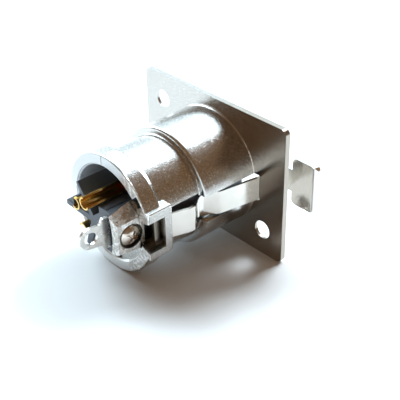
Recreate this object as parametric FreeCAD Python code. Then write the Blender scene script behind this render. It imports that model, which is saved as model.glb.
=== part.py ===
import FreeCAD, Part
import math
import os

os.makedirs("parts", exist_ok=True)

# XLR panel socket. Z is up, the barrel lies along Y.
# The mating face looks toward -Y and the solder side toward +Y.
# The latch is on the -X side. The origin is the centre of the flange's rear face.
# All sizes are in millimetres.

# Flange with two diagonal screw holes.
flange_w = 34.9
flange_h = 26.2
flange_t = 1.0
flange_corner = 1.1
hole_edge_x = 4.64
hole_edge_z = 4.93
hole_r = 1.7
sink_r = 2.2
hole_x = flange_w / 2 - hole_edge_x
hole_z = flange_h / 2 - hole_edge_z

# Contacts and the insulator around them, from the middle outward.
pin_circle_r = 4.76
pin_r = 1.22
sleeve_wall = 0.35
insert_rim = 3.14
plug_room = 1.65
sleeve_r = pin_r + sleeve_wall
insert_r = pin_circle_r + insert_rim
cavity_r = insert_r + plug_room

# Die-cast shell: wide barrel, neck and rear collar.
barrel_wall = 1.3
barrel_len = 11.2
neck_len = 7.1
keeper_len = 4.9
seat_wall = 0.8
neck_step = 1.35
neck_wall = 1.0
collar_step = 0.19
collar_len = 3.0
parting_half = 0.09
parting_depth = 0.1
shell_len = barrel_len + neck_len + keeper_len
barrel_r = cavity_r + barrel_wall
cavity_end = barrel_len - seat_wall
neck_r = barrel_r - neck_step
bore_r = neck_r - neck_wall
collar_r = barrel_r - collar_step

# Latch slot and keeper box.
slot_half = 2.45
neck_slot_half = 2.8
slot_room = 1.15
keeper_half = 4.45
keeper_rise = 0.9
keeper_wall = 1.5
keeper_gap = 1.3
slot_outer = barrel_r + slot_room
keeper_out = neck_r + keeper_rise
front_y = barrel_len + neck_len
window_y = front_y + keeper_wall
gap_y = window_y + keeper_gap

# Tongue that carries the insert screw.
tongue_t = 1.85
tongue_half = 2.65
tongue_reach = 3.9
screw_reach = 1.4
screw_r = 0.93
screw_len = 5.45
head_r = 1.8
head_dome_r = 2.9
head_sink = 0.75
recess_half = 1.15
tongue_drop = 2.5
tongue_in = bore_r - tongue_drop
tongue_out = tongue_in + tongue_t
tongue_end = shell_len + tongue_reach
screw_y = shell_len + screw_reach
screw_tip = tongue_out - screw_len

# Latch lever and leaf spring.
lever_t = 0.5
lever_half = 2.15
nose_r = 1.65
lever_bite = 0.55
lever_past = 0.62
tab_reach = 7.4
tab_lead = 4.8
tab_half = 4.6
tab_lip = 1.2
leaf_t = 0.45
leaf_half = 2.25
foot_half = 1.5
lever_rest = cavity_r - lever_bite
lever_end = barrel_len + lever_past
tab_out = slot_outer + tab_reach
tab_y = -flange_t - tab_lead

# Lengths of the insert, the contacts and the solder lug.
cup_r = 1.15
cup_wall = 0.28
cup_len = 10.4
cup_cut = 0.5
slit_len = 5.2
slit_half = 0.16
slit_turn = 20
link_t = 1.3
link_depth = 2.3
pin_rest = 1.7
floor_depth = 6.0
rib_reach = 3.0
rim_t = 0.75
lug_t = 0.5
lug_len = 5.4
lug_half = 1.97
lug_lean = 0.148
lug_sink = 1.75
face_y = 0.1 - flange_t
floor_y = shell_len - floor_depth
rib_end = shell_len + rib_reach
link_y = floor_y - link_depth

# Running clearance between moving or fitted pieces.
clear = 0.05


def vec(x, y, z):
    return FreeCAD.Vector(x, y, z)


def block(x0, x1, y0, y1, z0, z1):
    return Part.makeBox(x1 - x0, y1 - y0, z1 - z0, vec(x0, y0, z0))


def rod_y(r, y0, y1, x=0.0, z=0.0):
    return Part.makeCylinder(r, y1 - y0, vec(x, y0, z), vec(0, 1, 0))


def rod_x(r, x0, x1, y, z):
    return Part.makeCylinder(r, x1 - x0, vec(x0, y, z), vec(1, 0, 0))


def along_y(y):
    return lambda u, v: vec(u, y, v)


def along_x(x):
    return lambda u, v: vec(x, u, v)


def along_z(z):
    return lambda u, v: vec(u, v, z)


def corner_run(before, here, after):
    """Points that round one corner: start, middle and end of its arc."""
    u, v, r = here
    if r == 0:
        return [(u, v)]
    in_u = before[0] - u
    in_v = before[1] - v
    out_u = after[0] - u
    out_v = after[1] - v
    in_l = math.hypot(in_u, in_v)
    out_l = math.hypot(out_u, out_v)
    in_u, in_v, out_u, out_v = in_u / in_l, in_v / in_l, out_u / out_l, out_v / out_l
    half = math.acos(in_u * out_u + in_v * out_v) / 2
    cut = r / math.tan(half)
    mid_u = in_u + out_u
    mid_v = in_v + out_v
    mid_l = math.hypot(mid_u, mid_v)
    reach = (r / math.sin(half) - r) / mid_l
    start = (u + in_u * cut, v + in_v * cut)
    middle = (u + mid_u * reach, v + mid_v * reach)
    end = (u + out_u * cut, v + out_v * cut)
    return [start, middle, end]


def rounded_face(corners, lift):
    """Flat face from corners (u, v, radius) in the plane that lift gives."""
    count = len(corners)
    runs = []
    for i in range(count):
        runs.append(corner_run(corners[i - 1], corners[i], corners[(i + 1) % count]))
    edges = []
    for i in range(count):
        run = runs[i]
        follow = runs[(i + 1) % count]
        if len(run) == 3:
            edges.append(Part.Arc(lift(*run[0]), lift(*run[1]), lift(*run[2])).toShape())
        edges.append(Part.makeLine(lift(*run[-1]), lift(*follow[0])))
    return Part.Face(Part.Wire(edges))


def spin(corners):
    """Solid of revolution about Y from corners (radius, y, rounding)."""
    face = rounded_face(corners, along_z(0))
    return face.revolve(vec(0, 0, 0), vec(0, 1, 0), 360)


def strip_corners(path, t, bend, tip):
    """Corners of a bent strip: the path is one side, t is measured to its left."""
    count = len(path)
    turns = []
    for i in range(count - 1):
        du = path[i + 1][0] - path[i][0]
        dv = path[i + 1][1] - path[i][1]
        length = math.hypot(du, dv)
        turns.append((du / length, dv / length))
    near = []
    far = []
    for i in range(count):
        u, v = path[i]
        first = turns[max(i - 1, 0)]
        second = turns[min(i, count - 2)]
        cross = first[0] * second[1] - first[1] * second[0]
        dot = first[0] * second[0] + first[1] * second[1]
        shift_u = -(first[1] + second[1]) * t / (1 + dot)
        shift_v = (first[0] + second[0]) * t / (1 + dot)
        if i in (0, count - 1):
            near_r = tip
            far_r = tip
        elif cross > 0:
            near_r = bend + t
            far_r = bend
        else:
            near_r = bend
            far_r = bend + t
        near.append((u, v, near_r))
        far.append((u + shift_u, v + shift_v, far_r))
    return near + far[::-1]


def fuse_all(shapes):
    body = shapes[0]
    for shape in shapes[1:]:
        body = body.fuse(shape)
    return body.removeSplitter()


def wedge(r, y0, y1, start_deg, end_deg):
    """Pie slice about Y; angles run from -X toward +Z."""
    a0 = math.radians(start_deg)
    a1 = math.radians(end_deg)
    p0 = (-r * math.cos(a0), r * math.sin(a0), 0)
    p1 = (-r * math.cos(a1), r * math.sin(a1), 0)
    face = rounded_face([(0, 0, 0), p0, p1], along_y(y0))
    return face.extrude(vec(0, y1 - y0, 0))


def shell_outside():
    """Flange, barrel, neck, collar and keeper box as one full solid."""
    w = flange_w / 2
    h = flange_h / 2
    r = flange_corner
    rim = [(-w, -h, r), (w, -h, r), (w, h, r), (-w, h, r)]
    flange = rounded_face(rim, along_y(-flange_t)).extrude(vec(0, flange_t, 0))
    collar_y = shell_len - collar_len
    barrel = spin([
        (0, -flange_t / 2, 0),
        (barrel_r + 0.7, -flange_t / 2, 0),
        (barrel_r + 0.7, 0, 0),
        (barrel_r + 0.06, 0, 0.3),
        (barrel_r - 0.06, barrel_len, 0.55),
        (neck_r, barrel_len, 0.2),
        (neck_r, collar_y - 0.95, 0.4),
        (collar_r, collar_y - 0.05, 0.4),
        (collar_r - 0.04, shell_len, 0.3),
        (0, shell_len, 0),
    ])
    k = keeper_half
    side = [(front_y, -k, 0.8), (front_y, k, 0.35), (shell_len, k, 0), (shell_len, -k, 0.3)]
    keeper = rounded_face(side, along_x(-keeper_out)).extrude(vec(keeper_rise + 1.6, 0, 0))
    rim_edges = [e for e in keeper.Edges if e.BoundBox.XMax < -keeper_out + 0.01]
    keeper = keeper.makeFillet(0.22, rim_edges)
    return fuse_all([flange, barrel, keeper])


def shell_bore():
    """Stepped bore: wide plug cavity in front, insert seat behind."""
    return spin([
        (0, -flange_t - 1, 0),
        (cavity_r + 0.3, -flange_t - 1, 0),
        (cavity_r + 0.3, -flange_t, 0),
        (cavity_r, -flange_t + 0.3, 0),
        (cavity_r, cavity_end, 0),
        (bore_r, cavity_end, 0),
        (bore_r, shell_len - 0.3, 0),
        (bore_r + 0.3, shell_len, 0),
        (bore_r + 0.3, shell_len + 1, 0),
        (0, shell_len + 1, 0),
    ])


def tongue():
    """Tapered tongue behind the collar, with its root across the bore."""
    inner = tongue_in - 0.6
    root_y = shell_len - 2.5
    mid_y = shell_len - 0.6
    tip_out = tongue_out - 0.3
    half = tongue_half
    tip = Part.makePolygon([
        vec(-inner, tongue_end, -half - 1.05),
        vec(-tip_out, tongue_end, -half),
        vec(-tip_out, tongue_end, half),
        vec(-inner, tongue_end, half + 1.05),
        vec(-inner, tongue_end, -half - 1.05),
    ])
    base = Part.makePolygon([
        vec(-inner, mid_y, -half - 2.2),
        vec(-tongue_out, mid_y, -half - 0.4),
        vec(-tongue_out, mid_y, half + 0.4),
        vec(-inner, mid_y, half + 2.2),
        vec(-inner, mid_y, -half - 2.2),
    ])
    plate = Part.makeLoft([base, tip], True, True)
    reach = half + 2.2
    root = block(-bore_r - 0.4, -inner, root_y, mid_y, -reach, reach)
    root = root.common(rod_y(bore_r + 0.4, root_y, mid_y))
    body = plate.fuse(root)
    hollow = rod_y(2 * tongue_in, root_y - 1, tongue_end + 1, x=tongue_in)
    return body.cut(hollow)


def slot_cuts():
    """Latch slot through flange and barrel, and its wider run along the neck."""
    root = -insert_r - 0.1
    far = -slot_outer - lever_lean() * flange_t - 0.03
    end_y = front_y - 0.9
    narrow = rounded_face([
        (root, -flange_t - 0.1, 0),
        (far, -flange_t - 0.1, 0),
        (-slot_outer, 0, 0),
        (-slot_outer, end_y, 0),
        (root, end_y, 0),
    ], along_z(-slot_half)).extrude(vec(0, 0, 2 * slot_half))
    side = neck_slot_half
    wide = block(-slot_outer, root, barrel_len + 0.3, end_y, -side, side)
    return [narrow, wide]


def shell_cuts():
    """Latch slot, keeper window, leaf seat, screw holes and flange holes."""
    seat = neck_r - 0.2
    bar = seat + leaf_t + clear
    h = leaf_half + 0.15
    leaf_seat = rounded_face([
        (-seat, front_y - 1, 0),
        (-seat, front_y + 0.55, 0),
        (-seat + 0.15, front_y + 1.1, 0),
        (-seat + 0.15, gap_y, 0),
        (-bar, gap_y, 0),
        (-bar, front_y + 0.55, 0),
        (-bar - 0.24, front_y - 0.05, 0),
        (-bar - 1.2, front_y - 0.05, 0),
        (-bar - 1.2, front_y - 1, 0),
    ], along_z(-h)).extrude(vec(0, 0, 2 * h))
    out = max(keeper_out, collar_r) + 0.5
    mouth = [(-out, -3.2, 0), (-out, 2.9, 0), (-tongue_out, 2.1, 0), (-tongue_out, -2.15, 0)]
    front_mouth = [(-out, -3.2, 0), (-out, 2.9, 0), (-seat, 2.5, 0), (-seat, -2.7, 0)]
    window = rounded_face(mouth, along_y(gap_y)).extrude(vec(0, 3, 0))
    window_front = rounded_face(front_mouth, along_y(window_y)).extrude(vec(0, 1.4, 0))
    gap = block(-keeper_out, -tongue_in + 1, gap_y, gap_y + 1.0, -2.1, 2.1)
    pocket = wedge(20, shell_len - 2.5, shell_len + 1, 30, 41)
    pocket = pocket.common(rod_y(collar_r - 0.42, shell_len - 3, shell_len + 1))
    pocket = pocket.cut(rod_y(bore_r - 0.3, shell_len - 3, shell_len + 2))
    sink = rod_x(head_r + 0.35, -tongue_out - 1, -tongue_out + head_sink, screw_y, 0)
    shaft = rod_x(screw_r + 0.22, -tongue_out - 1, -tongue_in + 1.2, screw_y, 0)
    cuts = slot_cuts() + [leaf_seat, window, window_front, gap, pocket, sink, shaft]
    for side in (1, -1):
        x = side * hole_x
        z = side * hole_z
        cuts.append(rod_y(hole_r, -flange_t - 1, 1, x=x, z=z))
        depth = sink_r - hole_r
        cone = Part.makeCone(sink_r, hole_r, depth, vec(x, -flange_t, z), vec(0, 1, 0))
        cuts.append(cone)
    return cuts


def parting_marks():
    """Shallow witness grooves of the mould halves on the flange and the collar's end."""
    w = parting_half
    flange_mark = block(-w, w, -parting_depth, 1, barrel_r + 0.7, flange_h / 2 + 1)
    ring_mark = block(-w, w, shell_len - parting_depth, shell_len + 1, bore_r - 0.5, collar_r + 1)
    ring_mark.translate(vec(0.85, 0, 0))
    return [flange_mark, ring_mark]


def make_housing():
    body = shell_outside().cut(shell_bore())
    body = body.fuse(tongue())
    for cut in shell_cuts() + parting_marks():
        body = body.cut(cut)
    return body.removeSplitter()


def polar(r, deg):
    """Point on a circle about Y; angles run from -X toward +Z."""
    a = math.radians(deg)
    return (-r * math.cos(a), r * math.sin(a))


# Each contact: angle of its socket, then the angle of its solder cup, how far that
# lies inside the pin circle, and how far the cup reaches behind the shell.
contact_table = {
    "contact_1": (90, 79, 0.06, 5.2),
    "contact_2": (180, 163, 0.16, 3.4),
    "contact_3": (270, 226, 0.36, 3.3),
}


def contact_axes(name):
    """Centres of a contact's socket and of its solder cup."""
    turn, cup_turn, inward, reach = contact_table[name]
    return polar(pin_circle_r, turn), polar(pin_circle_r - inward, cup_turn)


def contact_way(name):
    """Stepped way through the insert: entry, sleeve room and a slot to the rear."""
    (x, z), (cx, cz) = contact_axes(name)
    entry = rod_y(pin_r + 0.12, face_y - 1, 1, x=x, z=z)
    funnel = Part.makeCone(pin_r + 0.62, pin_r + 0.12, 0.5, vec(x, face_y, z), vec(0, 1, 0))
    room = rod_y(sleeve_r + clear, 0, floor_y + 1, x=x, z=z)
    link = link_plate(name, cup_r + clear, link_y - 0.1, floor_y + 1)
    shank = rod_y(cup_r + clear, link_y - 0.1, floor_y + 1, x=cx, z=cz)
    return fuse_all([entry, funnel, room, link, shank])


def link_plate(name, half, y0, y1):
    """Straight plate from the socket's axis to the cup's axis."""
    (x, z), (cx, cz) = contact_axes(name)
    length = math.hypot(cx - x, cz - z)
    nx = -(cz - z) / length * half
    nz = (cx - x) / length * half
    corners = [(x + nx, z + nz, 0), (cx + nx, cz + nz, 0), (cx - nx, cz - nz, 0), (x - nx, z - nz, 0)]
    return rounded_face(corners, along_y(y0)).extrude(vec(0, y1 - y0, 0))


def make_contact(name):
    """Slotted socket sleeve in front, offset link, open solder cup behind."""
    (x, z), (cx, cz) = contact_axes(name)
    end = shell_len + contact_table[name][3]
    link_end = link_y + link_t
    sleeve = rod_y(sleeve_r, clear, link_end, x=x, z=z)
    link = link_plate(name, cup_r - 0.3, link_y, link_end)
    shank = rod_y(cup_r, link_y, end, x=cx, z=cz)
    body = fuse_all([sleeve, link, shank])
    body = body.cut(rod_y(pin_r, -1, link_y - pin_rest, x=x, z=z))
    for turn in (slit_turn, slit_turn + 90):
        slit = block(x - 2 * pin_r, x + 2 * pin_r, -1, slit_len, z - slit_half, z + slit_half)
        slit.rotate(vec(x, 0, z), vec(0, 1, 0), turn)
        body = body.cut(slit)
    start = end - cup_len
    wide = cup_r + 1
    body = body.cut(rod_y(cup_r - cup_wall, start + 0.8, end + 1, x=cx, z=cz))
    mouth = block(-wide, wide, start + 2.2, end + 1, cup_cut, wide)
    ramp = rounded_face(
        [(start + 1.2, wide, 0), (start + 2.21, cup_cut, 0), (start + 2.21, wide, 0)],
        along_x(-wide),
    ).extrude(vec(2 * wide, 0, 0))
    mouth = mouth.fuse(ramp)
    mouth.rotate(vec(0, 0, 0), vec(0, 1, 0), cup_mouth[name])
    mouth.translate(vec(cx, 0, cz))
    return body.cut(mouth).removeSplitter()


# Direction that each cup's open side faces, turned from +Z about +Y.
cup_mouth = {"contact_1": -50, "contact_2": 75, "contact_3": 120}


def rib(gap, deg, root_t, tip_t):
    """Upright barrier rib from the insert's middle to a gap inside the bore."""
    a = math.radians(deg)
    length = bore_r - gap
    corners = [
        (0, -root_t / 2, 0),
        (length, -tip_t / 2, 0),
        (length, tip_t / 2, 0),
        (0, root_t / 2, 0),
    ]
    turned = []
    for u, v, r in corners:
        turned.append((-(u * math.cos(a) - v * math.sin(a)), u * math.sin(a) + v * math.cos(a), r))
    return rounded_face(turned, along_y(floor_y - 0.5)).extrude(vec(0, rib_end - floor_y + 0.5, 0))


def make_insert():
    """Moulded insulator with pin ways, barrier ribs and a boss for its screw."""
    body = spin([
        (0, face_y, 0),
        (insert_r, face_y, 0.35),
        (insert_r, cavity_end + 0.1, 0),
        (bore_r - clear, cavity_end + 0.1, 0),
        (bore_r - clear, floor_y, 0.3),
        (0, floor_y, 0),
    ])
    ribs = [rib(1.6, 124, 1.0, 0.5), rib(1.0, 179, 1.1, 0.9), rib(3.5, 38.5, 1.5, 1.45), rib(2.2, 250, 1.2, 1.2)]
    b = bore_r
    guard = [(b - 0.95, 0.4, 0), (b - 4.0, 2.75, 0.3), (b - 4.6, 2.3, 0), (b - 2.9, -0.3, 0)]
    head = rounded_face(guard, along_y(floor_y - 0.5))
    head = head.extrude(vec(0, rib_end - floor_y + 0.4, 0))
    under_tongue = rod_y(2 * tongue_in - clear, floor_y - 1, rib_end + 1, x=tongue_in)
    boss = block(-b, -1.7, floor_y - 0.5, rib_end, -4.2, 3.5)
    boss = boss.common(under_tongue).common(rod_y(b - 1.6, floor_y - 1, rib_end))
    for name in contact_table:
        body = body.cut(contact_way(name))
    body = fuse_all([body, boss, head] + ribs)
    flat_y = shell_len - 2.5 - 0.2
    root_room = block(-barrel_r, -tongue_in + 0.65, flat_y, rib_end + 1, -barrel_r, barrel_r)
    body = body.cut(root_room.cut(under_tongue))
    body = body.cut(lug_slot())
    s = slot_half + 0.2
    under = -lever_rest + lever_t + clear
    body = body.cut(block(-barrel_r, under, cavity_end, lever_end + 2.7, -s, s))
    body = body.cut(block(-barrel_r, -insert_r + 1.1, face_y - 1, cavity_end, -1.6, 1.6))
    body = body.cut(rod_x(screw_r + 0.02, -barrel_r, -screw_tip + 0.2, screw_y, 0))
    for name in contact_table:
        x, z = contact_axes(name)[1]
        body = body.cut(rod_y(cup_r + clear, floor_y - 1, rib_end + 1, x=x, z=z))
    return body.removeSplitter()


def lug_x(y):
    """Outer side of the leaning ground lug at a station along Y."""
    return -tongue_in + lug_sink + lug_lean * (y - rib_end - 1.35)


def lug_slot():
    """Slot under the insert's rim that takes the ground lug's base."""
    y0 = shell_len - 0.9 - clear
    y1 = rib_end + 1
    roof = -tongue_in + clear + rim_t
    floor = lug_t + clear
    corners = [(roof, y0, 0), (roof, y1, 0), (lug_x(y1) + floor, y1, 0), (lug_x(y0) + floor, y0, 0)]
    return rounded_face(corners, along_z(-2.95)).extrude(vec(0, 0, 5.9))


def make_lug():
    """Ground lug: flat leaning strip in the insert's slot, with an eyed solder tab."""
    base_y = shell_len - 0.9
    end_y = rib_end + lug_len
    x0 = lug_x(base_y)
    x1 = lug_x(end_y)
    corners = [(x0, base_y, 0), (x1, end_y, 0), (x1 + lug_t, end_y, 0), (x0 + lug_t, base_y, 0)]
    strip = rounded_face(corners, along_z(-2.9)).extrude(vec(0, 0, 5.8))
    plan = rounded_face([
        (base_y, -2.9, 0),
        (rib_end + 1.35, -2.9, 0.3),
        (rib_end + 1.75, -lug_half, 0.3),
        (end_y, -lug_half, lug_half - 0.07),
        (end_y, lug_half, lug_half - 0.07),
        (rib_end + 1.75, lug_half, 0.3),
        (rib_end + 1.35, 2.9, 0.3),
        (base_y, 2.9, 0),
    ], along_x(-barrel_r)).extrude(vec(barrel_r, 0, 0))
    body = strip.common(plan)
    body = body.cut(rod_x(1.15, -barrel_r, 0, end_y - lug_half + 0.07, 0))
    body = body.cut(rod_x(screw_r + 0.17, -barrel_r, 0, screw_y, 0))
    return body.removeSplitter()


def make_screw():
    """Domed insert screw with a cross recess, pointing toward the axis."""
    seat = -tongue_out + head_sink
    shank = rod_x(screw_r, seat - 0.1, -screw_tip, screw_y, 0)
    head = rod_x(head_r, seat - 0.35, seat - 0.01, screw_y, 0)
    rise = math.sqrt(head_dome_r ** 2 - head_r ** 2)
    dome = Part.makeSphere(head_dome_r, vec(seat - 0.35 + rise, screw_y, 0))
    dome = dome.common(rod_x(head_r, seat - 3, seat - 0.35, screw_y, 0))
    body = fuse_all([shank, head, dome])
    arm_half = recess_half
    for turn in (35, 125):
        arm = block(seat - 3, seat - 0.35, screw_y - arm_half, screw_y + arm_half, -0.24, 0.24)
        arm.rotate(vec(0, screw_y, 0), vec(1, 0, 0), turn)
        body = body.cut(arm)
    return body.removeSplitter()


def lever_points():
    """Outer side of the lever's strip, from its nose to the tab's lip."""
    knee = (-cavity_r - 0.95, cavity_end - 2.55)
    pass_x = -slot_outer + 0.07
    front_x = pass_x + (pass_x - knee[0]) / knee[1] * -tab_y
    return [
        (-lever_rest, lever_end),
        (-lever_rest, cavity_end - 0.15),
        knee,
        (front_x, tab_y),
        (-tab_out, tab_y),
        (-tab_out, tab_y - tab_lip),
    ]


def lever_lean():
    """Slope of the lever's strip where it passes the flange."""
    points = lever_points()
    return (points[2][0] - points[3][0]) / (points[2][1] - points[3][1])


def make_lever():
    """Latch lever: rounded nose, catch bend, strip through the flange, thumb tab."""
    points = lever_points()
    h = tab_half
    corners = strip_corners(points, lever_t, 0.4, 0.12)
    sheet = rounded_face(corners, along_z(-h)).extrude(vec(0, 0, 2 * h))
    shoulder = points[3][0] - 1.1
    low_y = tab_y - tab_lip - 1
    arm = rounded_face([
        (low_y, -lever_half, 0),
        (lever_end, -lever_half, nose_r),
        (lever_end, lever_half, nose_r),
        (low_y, lever_half, 0),
    ], along_x(shoulder - 0.5)).extrude(vec(-shoulder, 0, 0))
    tab = rounded_face([
        (shoulder, -h, 1.0),
        (shoulder, h, 1.0),
        (-tab_out, h, 1.2),
        (-tab_out, -h, 1.2),
    ], along_y(low_y)).extrude(vec(0, tab_y + 0.1 - low_y, 0))
    return sheet.common(arm.fuse(tab)).removeSplitter()


def make_leaf():
    """Bowed leaf spring: tail in the keeper box, crest, foot on the lever's nose."""
    top = neck_r - 0.2 + clear / 2 + leaf_t
    crest = keeper_out + 0.55
    foot = lever_rest + clear + leaf_t
    span = front_y - lever_end
    foot_y = lever_end - 0.2
    path = [
        (-top, front_y + 0.95),
        (-top, front_y + 0.15),
        (-crest, lever_end + 0.475 * span),
        (-crest, lever_end + 0.31 * span),
        (-foot - 0.03, lever_end + 0.4),
        (-foot, foot_y),
    ]
    corners = strip_corners(path, leaf_t, 0.3, 0.12)
    w = leaf_half
    n = foot_half
    sheet = rounded_face(corners, along_z(-w)).extrude(vec(0, 0, 2 * w))
    neck_y = lever_end + 0.25 * span
    tail_y = front_y + 1.5
    plan = rounded_face([
        (tail_y, -w, 0),
        (neck_y, -w, 0.5),
        (neck_y, -n, 0.2),
        (foot_y, -n, 0.4),
        (foot_y, n, 0.4),
        (neck_y, n, 0.2),
        (neck_y, w, 0.5),
        (tail_y, w, 0),
    ], along_x(-crest - 1)).extrude(vec(3, 0, 0))
    return sheet.common(plan).removeSplitter()


def save(name, shape):
    shape.exportStep("parts/" + name + ".step")


save("housing", make_housing())
save("insert", make_insert())
for contact_name in contact_table:
    save(contact_name, make_contact(contact_name))
save("ground_lug", make_lug())
save("insert_screw", make_screw())
save("latch_lever", make_lever())
save("latch_leaf", make_leaf())
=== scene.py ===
import math

import bpy
from mathutils import Matrix, Vector


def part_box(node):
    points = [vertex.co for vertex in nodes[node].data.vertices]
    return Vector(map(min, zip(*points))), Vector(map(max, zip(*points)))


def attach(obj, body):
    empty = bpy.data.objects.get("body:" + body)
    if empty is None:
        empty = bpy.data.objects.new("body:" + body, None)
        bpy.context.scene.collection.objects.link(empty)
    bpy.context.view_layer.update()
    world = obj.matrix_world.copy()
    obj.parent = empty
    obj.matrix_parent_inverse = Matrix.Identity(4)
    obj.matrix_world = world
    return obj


# Looks, light and camera of the XLR panel socket. All lengths are in metres.
# The barrel lies along Y, with the solder end toward +Y and the latch toward -X.
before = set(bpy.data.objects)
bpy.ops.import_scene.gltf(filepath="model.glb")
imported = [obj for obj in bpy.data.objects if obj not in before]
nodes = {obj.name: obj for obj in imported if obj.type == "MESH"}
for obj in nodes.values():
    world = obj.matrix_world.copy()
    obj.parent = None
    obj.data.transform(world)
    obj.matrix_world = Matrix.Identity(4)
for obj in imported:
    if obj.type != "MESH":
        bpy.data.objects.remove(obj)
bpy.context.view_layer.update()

# Place along Y where the rounding of the collar's rear edge starts, and the collar's underside there.
collar_end = 0.0229
collar_low = -0.01064

# Places on the casting with a tone of their own; the seat, box and bore tones, the brown fade across
# the flange and the fade across the solder end are painted light, shade and reflection. Each pair says
# where a fade starts and where it ends.
rear_y = (collar_end, collar_end + 0.0002)
coarse_x = (-0.0035, -0.0055)
flange_y = (0.0003, 0.0001)
flange_reflection_x = (0.004, -0.010)
ring_z = (-0.006, 0.006)
seat_r = (0.00228, 0.00218)
seat_x = (-0.0045, -0.0055)
bore_r = (0.00872, 0.00864)
bore_x = (-0.0010, 0.0010)
bore_y = (0.0165, 0.0170)

# Inside of the keeper box from end to end, and the width over which its painted shade fades.
box_x = (-0.0102, -0.0070)
box_y = (0.0186, 0.0228)
box_z = (-0.0034, 0.0034)
box_fade = 0.0002

# Fade of the painted highlight, from the lever's strip to the thumb tab.
tab_y = (-0.0040, -0.0050)


class Net:
    """Small helper that adds shader nodes and links them."""

    def __init__(self, tree):
        self.tree = tree
        tree.nodes.clear()

    def add(self, kind, **values):
        node = self.tree.nodes.new(kind)
        for key, value in values.items():
            setattr(node, key, value)
        return node

    def link(self, source, target):
        self.tree.links.new(source, target)

    def feed(self, socket, value):
        """Link another node's output to a socket, or set the socket to a number or a colour."""
        if isinstance(value, bpy.types.NodeSocket):
            self.link(value, socket)
        else:
            socket.default_value = value

    def axes(self, space):
        """The three coordinates of a point on a piece, or of a direction in the world."""
        place = self.add("ShaderNodeTexCoord")
        split = self.add("ShaderNodeSeparateXYZ")
        self.link(place.outputs[space], split.inputs["Vector"])
        return split.outputs["X"], split.outputs["Y"], split.outputs["Z"]

    def noise(self, scale, detail, rough, stretch=(1, 1, 1)):
        place = self.add("ShaderNodeTexCoord")
        mapping = self.add("ShaderNodeMapping")
        mapping.inputs["Scale"].default_value = stretch
        self.link(place.outputs["Object"], mapping.inputs["Vector"])
        node = self.add("ShaderNodeTexNoise")
        self.link(mapping.outputs["Vector"], node.inputs["Vector"])
        node.inputs["Scale"].default_value = scale
        node.inputs["Detail"].default_value = detail
        node.inputs["Roughness"].default_value = rough
        return node.outputs["Fac"]

    def span(self, value, low, high, to_low=0.0, to_high=1.0):
        """Smooth step from to_low, where the value is low, to to_high, where it is high."""
        node = self.add("ShaderNodeMapRange", interpolation_type="SMOOTHSTEP")
        self.link(value, node.inputs["Value"])
        node.inputs["From Min"].default_value = low
        node.inputs["From Max"].default_value = high
        node.inputs["To Min"].default_value = to_low
        node.inputs["To Max"].default_value = to_high
        return node.outputs["Result"]

    def math(self, operation, first, second=0.0):
        node = self.add("ShaderNodeMath", operation=operation)
        self.feed(node.inputs[0], first)
        self.feed(node.inputs[1], second)
        return node.outputs[0]

    def plus(self, first, second):
        return self.math("ADD", first, second)

    def times(self, first, second):
        return self.math("MULTIPLY", first, second)

    def within(self, value, low, high, fade):
        """1 between low and high, and 0 outside, fading inside both ends."""
        return self.times(self.span(value, low, low + fade), self.span(value, high, high - fade))

    def reach(self, first, second):
        """Distance from an axis, from the two coordinates across it."""
        total = self.plus(self.times(first, first), self.times(second, second))
        return self.math("SQRT", total)

    def mix(self, factor, first, second):
        node = self.add("ShaderNodeMix", data_type="RGBA")
        self.feed(node.inputs["Factor"], factor)
        self.feed(node.inputs["A"], first)
        self.feed(node.inputs["B"], second)
        return node.outputs["Result"]

    def bump(self, height, strength, depth, normal=None):
        node = self.add("ShaderNodeBump")
        node.inputs["Strength"].default_value = strength
        node.inputs["Distance"].default_value = depth
        self.link(height, node.inputs["Height"])
        if normal is not None:
            self.link(normal, node.inputs["Normal"])
        return node.outputs["Normal"]


def material(name):
    made = bpy.data.materials.new(name)
    made.use_nodes = True
    return made, Net(made.node_tree)


def shader(net, color, rough, metallic, normal=None, ior=1.5):
    surface = net.add("ShaderNodeBsdfPrincipled")
    net.feed(surface.inputs["Base Color"], color)
    net.feed(surface.inputs["Roughness"], rough)
    net.feed(surface.inputs["Metallic"], metallic)
    surface.inputs["IOR"].default_value = ior
    if normal is not None:
        net.link(normal, surface.inputs["Normal"])
    out = net.add("ShaderNodeOutputMaterial")
    net.link(surface.outputs["BSDF"], out.inputs["Surface"])


def casting_zones(net, x, y, z):
    """Masks of the places on the casting that have a tone of their own; the seat, bore and box masks
    carry painted light and shade.
    """
    screw_low, screw_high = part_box("insert_screw")
    screw_y = (screw_low[1] + screw_high[1]) / 2
    rear = net.span(y, *rear_y)
    seat = net.span(net.reach(net.math("SUBTRACT", y, screw_y), z), *seat_r)
    bore = net.times(net.span(net.reach(x, z), *bore_r), net.span(y, *bore_y))
    box = net.times(net.within(x, *box_x, box_fade), net.within(y, *box_y, box_fade))
    return {
        "rear": rear,
        "coarse": net.times(rear, net.span(x, *coarse_x)),
        "flange": net.span(y, *flange_y),
        "seat": net.times(seat, net.span(x, *seat_x)),
        "bore": net.times(bore, net.span(x, *bore_x)),
        "box": net.times(box, net.within(z, *box_z, box_fade)),
    }


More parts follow.
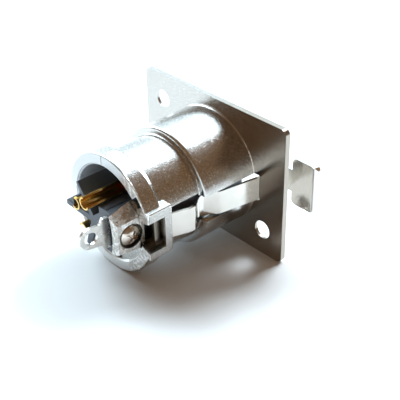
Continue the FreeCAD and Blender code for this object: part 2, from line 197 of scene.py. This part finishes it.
def casting_color(net, x, z, zones, grain):
    """Tone of the casting: grain, stains and painted glints, then what each zone adds, most of it
    painted light, shade and reflection.
    """
    grain_dull = (0.47, 0.46, 0.44, 1)
    grain_bright = (0.68, 0.67, 0.65, 1)
    stain_brown = (0.50, 0.46, 0.41, 1)
    painted_glint_white = (0.93, 0.92, 0.90, 1)
    flange_painted_reflection = (0.36, 0.305, 0.25, 1)
    ring_painted_light_below = (0.78, 0.77, 0.75, 1)
    ring_painted_shade_above = (0.53, 0.54, 0.54, 1)
    coarse_gray = (0.60, 0.57, 0.53, 1)
    pit_dark = (0.36, 0.32, 0.27, 1)
    fleck_bright = (0.86, 0.85, 0.83, 1)
    seat_painted_shade = (0.16, 0.14, 0.12, 1)
    box_painted_shade = (0.30, 0.275, 0.235, 1)
    bore_painted_light = (0.90, 0.94, 0.97, 1)

    stain = net.span(net.noise(scale=160, detail=4, rough=0.6), 0.45, 0.75, to_high=0.35)
    # Sparse white specks: painted glints of the grain facets.
    painted_glint = net.span(net.noise(scale=4300, detail=0, rough=0.5), 0.68, 0.76)
    pits = net.span(net.noise(scale=2100, detail=3, rough=0.6), 0.44, 0.34)
    fleck = net.span(net.noise(scale=1500, detail=2, rough=0.6), 0.50, 0.58)
    # Painted reflection: the flange turns browner towards -X, where it mirrors the barrel's shaded
    # side.
    flange = net.times(zones["flange"], net.span(x, *flange_reflection_x, to_low=0.25, to_high=0.85))
    # Painted light and shade on the solder end: lighter below and darker above.
    ring = net.mix(net.span(z, *ring_z), ring_painted_light_below, ring_painted_shade_above)

    color = net.mix(net.span(grain, 0.34, 0.66), grain_dull, grain_bright)
    color = net.mix(stain, color, stain_brown)
    color = net.mix(painted_glint, color, painted_glint_white)
    color = net.mix(flange, color, flange_painted_reflection)
    color = net.mix(zones["rear"], color, ring)
    color = net.mix(zones["coarse"], color, coarse_gray)
    color = net.mix(net.times(pits, zones["coarse"]), color, pit_dark)
    color = net.mix(net.times(fleck, zones["coarse"]), color, fleck_bright)
    # Painted shade in the counterbore round the screw head.
    color = net.mix(zones["seat"], color, seat_painted_shade)
    # Painted shade inside the keeper box.
    color = net.mix(zones["box"], color, box_painted_shade)
    # Painted light: the bore wall gets a pale, bluish copy of the nickel so that it shows lit.
    return net.mix(zones["bore"], color, bore_painted_light)


def plated_casting():
    """Satin nickel over a blasted die casting, with a coarse skin at the solder end, which is painted
    lighter below and darker above.
    """
    made, net = material("nickel_casting")
    rear_rough = 0.14
    bore_dull = 0.75
    x, y, z = net.axes("Object")
    zones = casting_zones(net, x, y, z)
    grain = net.noise(scale=5600, detail=1, rough=0.5)
    mottle = net.noise(scale=1300, detail=3, rough=0.6)
    color = casting_color(net, x, z, zones, grain)
    rough = net.plus(net.span(mottle, 0.3, 0.7, 0.18, 0.22), net.span(grain, 0.3, 0.7, -0.02, 0.04))
    rough = net.plus(rough, net.times(zones["rear"], rear_rough))
    # The bore wall is mostly matt, part of its painted light.
    metallic = net.math("SUBTRACT", 1.0, net.times(zones["bore"], bore_dull))
    normal = net.bump(grain, strength=1.0, depth=0.000014)
    normal = net.bump(mottle, strength=0.04, depth=0.00005, normal=normal)
    normal = net.bump(net.times(zones["coarse"], mottle), strength=1.0, depth=0.00016, normal=normal)
    shader(net, color, rough, metallic, normal)
    return made


def latch_plate():
    """Smooth bright plated sheet, with a painted highlight that makes the thumb tab lighter."""
    made, net = material("latch_plate")
    sheet_light = (0.76, 0.73, 0.68, 1)
    sheet_dark = (0.69, 0.66, 0.61, 1)
    tab_painted_highlight = (0.97, 0.98, 0.97, 1)
    along = net.axes("Object")[1]
    brushed = net.noise(scale=2600, detail=2, rough=0.5, stretch=(1, 0.12, 1))
    cloud = net.noise(scale=260, detail=3, rough=0.55)
    color = net.mix(net.span(cloud, 0.35, 0.7), sheet_light, sheet_dark)
    # Painted highlight: the thumb tab is lighter, standing in for its reflection.
    color = net.mix(net.span(along, *tab_y), color, tab_painted_highlight)
    rough = net.plus(net.span(cloud, 0.3, 0.7, 0.13, 0.19), net.span(brushed, 0.3, 0.7, -0.01, 0.03))
    shader(net, color, rough, 1.0, net.bump(brushed, strength=0.05, depth=0.00003))
    return made


def cloudy_plate(net, cloud, fine, tones, rough, strength, depth=0.00005):
    """Plated metal: the cloud changes tone and roughness, and the fine noise makes a faint bump."""
    color = net.mix(net.span(cloud, 0.35, 0.7), *tones)
    normal = net.bump(fine, strength, depth)
    shader(net, color, net.span(cloud, 0.3, 0.7, *rough), 1.0, normal)


def gold_plate():
    """Gold over the contacts, deeper in tone where it is cloudy."""
    made, net = material("gold_plate")
    tones = ((0.83, 0.56, 0.20, 1), (0.66, 0.40, 0.12, 1))
    cloud = net.noise(scale=700, detail=3, rough=0.55)
    fine = net.noise(scale=2400, detail=2, rough=0.5)
    cloudy_plate(net, cloud, fine, tones, rough=(0.16, 0.26), strength=0.08)
    return made


def tin_plate():
    """Pale soft tin over the ground lug."""
    made, net = material("tin_plate")
    tones = ((0.90, 0.89, 0.86, 1), (0.78, 0.76, 0.72, 1))
    cloud = net.noise(scale=500, detail=4, rough=0.6)
    fine = net.noise(scale=2800, detail=2, rough=0.5)
    cloudy_plate(net, cloud, fine, tones, rough=(0.24, 0.34), strength=0.14, depth=0.00006)
    return made


def screw_plate():
    """Glossy nickel over the insert screw, browner than the casting."""
    made, net = material("screw_plate")
    tones = ((0.66, 0.60, 0.54, 1), (0.46, 0.39, 0.32, 1))
    cloud = net.noise(scale=900, detail=3, rough=0.6)
    fine = net.noise(scale=3000, detail=2, rough=0.5)
    cloudy_plate(net, cloud, fine, tones, rough=(0.08, 0.16), strength=0.10)
    return made


def moulded_black():
    """Dark moulded plastic with a bluish gloss."""
    made, net = material("moulded_black")
    dark = (0.060, 0.072, 0.090, 1)
    light = (0.078, 0.092, 0.112, 1)
    cloud = net.noise(scale=420, detail=3, rough=0.6)
    fine = net.noise(scale=4200, detail=3, rough=0.6)
    color = net.mix(net.span(cloud, 0.3, 0.7), dark, light)
    rough = net.plus(net.span(cloud, 0.3, 0.7, 0.36, 0.44), net.span(fine, 0.3, 0.7, -0.03, 0.05))
    shader(net, color, rough, 0.0, net.bump(fine, strength=0.18, depth=0.00005))
    return made


def table_white():
    """Nearly even matt white with little sheen."""
    made, net = material("table_white")
    shade = (0.73, 0.73, 0.73, 1)
    light = (0.75, 0.75, 0.75, 1)
    cloud = net.noise(scale=9, detail=3, rough=0.5)
    color = net.mix(net.span(cloud, 0.3, 0.7), shade, light)
    shader(net, color, rough=0.6, metallic=0.0, ior=1.12)
    return made


def dress(name, made):
    """Give a CAD node its material."""
    piece = nodes[name]
    piece.data.materials.clear()
    piece.data.materials.append(made)


def cast_web(made):
    """Small web of the casting that fills the corner between the tongue and the collar's bore.

    Its outline has three corners at the tongue and an arc just inside the collar's wall.
    """
    front = 0.0208
    arc_r = 0.00878
    arc_start = 74
    arc_step = 5
    arc_points = 11
    outline = [(-0.0079, -0.0031), (-0.0054, -0.0045), (-0.0024, -0.0063)]
    for step in range(arc_points):
        angle = math.radians(arc_start - arc_step * step)
        outline.append((-arc_r * math.cos(angle), -arc_r * math.sin(angle)))
    count = len(outline)
    points = [(x, y, z) for y in (front, collar_end) for x, z in outline]
    faces = [tuple(range(count)), tuple(range(2 * count - 1, count - 1, -1))]
    for i in range(count):
        j = (i + 1) % count
        faces.append((j, i, i + count, j + count))
    mesh = bpy.data.meshes.new("cast_web")
    mesh.from_pydata(points, [], faces)
    mesh.materials.append(made)
    web = bpy.data.objects.new("cast_web", mesh)
    bpy.context.collection.objects.link(web)
    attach(web, "socket")


def lay_table():
    """Table that the socket lies on, with the flange's lower edge and the collar's underside."""
    half = 1.6
    gap = 0.00002
    low_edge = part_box("housing")[0][2]
    rise = (collar_low - low_edge) / collar_end
    corners = [(-half, -half), (half, -half), (half, half), (-half, half)]
    points = [(x, y, low_edge + rise * y - gap) for x, y in corners]
    mesh = bpy.data.meshes.new("table")
    mesh.from_pydata(points, [], [(0, 1, 2, 3)])
    table = bpy.data.objects.new("table", mesh)
    bpy.context.collection.objects.link(table)
    mesh.materials.append(table_white())


def pane(net, azimuth, up, sector, foot, head):
    """Mask of a pane, from its sector of the horizon and the heights where foot and head fade."""
    wide = net.times(net.within(azimuth, *sector), net.span(up, *foot))
    return net.times(wide, net.span(up, *head))


def light_room():
    """Wide window behind the object with a brighter pane at each end, and a warm dark room in front."""
    room_low = (0.30, 0.24, 0.185, 1)
    room_high = (0.22, 0.13, 0.067, 1)
    sky_low = (1.02, 1.22, 1.32, 1)
    sky_high = (2.1, 2.5, 2.75, 1)
    far_glow = (11.5, 14.2, 16.0, 1)
    near_glow = (25.0, 28.5, 31.0, 1)

    world = bpy.data.worlds.new("room")
    bpy.context.scene.world = world
    world.use_nodes = True
    net = Net(world.node_tree)
    x, y, up = net.axes("Generated")
    azimuth = net.math("ARCTAN2", y, x)
    far = pane(net, azimuth, up, sector=(-0.46, 0.30, 0.12), foot=(0.06, 0.26), head=(0.84, 0.70))
    near = pane(net, azimuth, up, sector=(-1.73, -1.15, 0.10), foot=(0.18, 0.50), head=(0.78, 0.66))
    window = net.times(net.within(azimuth, -1.81, 0.46, fade=0.20), net.span(up, 1.0, 0.85))

    dark = net.mix(net.span(up, 0.0, 0.45), room_low, room_high)
    light = net.mix(net.span(up, 0.32, 0.62), sky_low, sky_high)
    light = net.mix(far, light, far_glow)
    light = net.mix(near, light, near_glow)
    back = net.add("ShaderNodeBackground")
    net.link(net.mix(window, dark, light), back.inputs["Color"])
    out = net.add("ShaderNodeOutputWorld")
    net.link(back.outputs["Background"], out.inputs["Surface"])


def place_camera():
    """Camera with the photo's place, direction and lens."""
    view = bpy.data.cameras.new("camera")
    view.lens = 77.987
    view.sensor_width = 36.0
    view.clip_start = 0.01
    view.clip_end = 10.0
    camera = bpy.data.objects.new("camera", view)
    place = Matrix.Translation((-0.097656, 0.091047, 0.079455))
    right = Vector((-0.677393, -0.735450, -0.015872))
    down = Vector((-0.394024, 0.380971, -0.836425))
    ahead = Vector((0.621195, -0.560335, -0.547852))
    turn = Matrix((right, -down, -ahead)).transposed()
    camera.matrix_world = place @ turn.to_4x4()
    bpy.context.collection.objects.link(camera)
    bpy.context.scene.camera = camera


casting = plated_casting()
latch = latch_plate()
gold = gold_plate()
dress("housing", casting)
dress("insert", moulded_black())
dress("contact_1", gold)
dress("contact_2", gold)
dress("contact_3", gold)
dress("ground_lug", tin_plate())
dress("insert_screw", screw_plate())
dress("latch_lever", latch)
dress("latch_leaf", latch)
cast_web(casting)
lay_table()
light_room()
place_camera()

bpy.context.scene.view_settings.view_transform = "Standard"
bpy.context.scene.view_settings.look = "None"
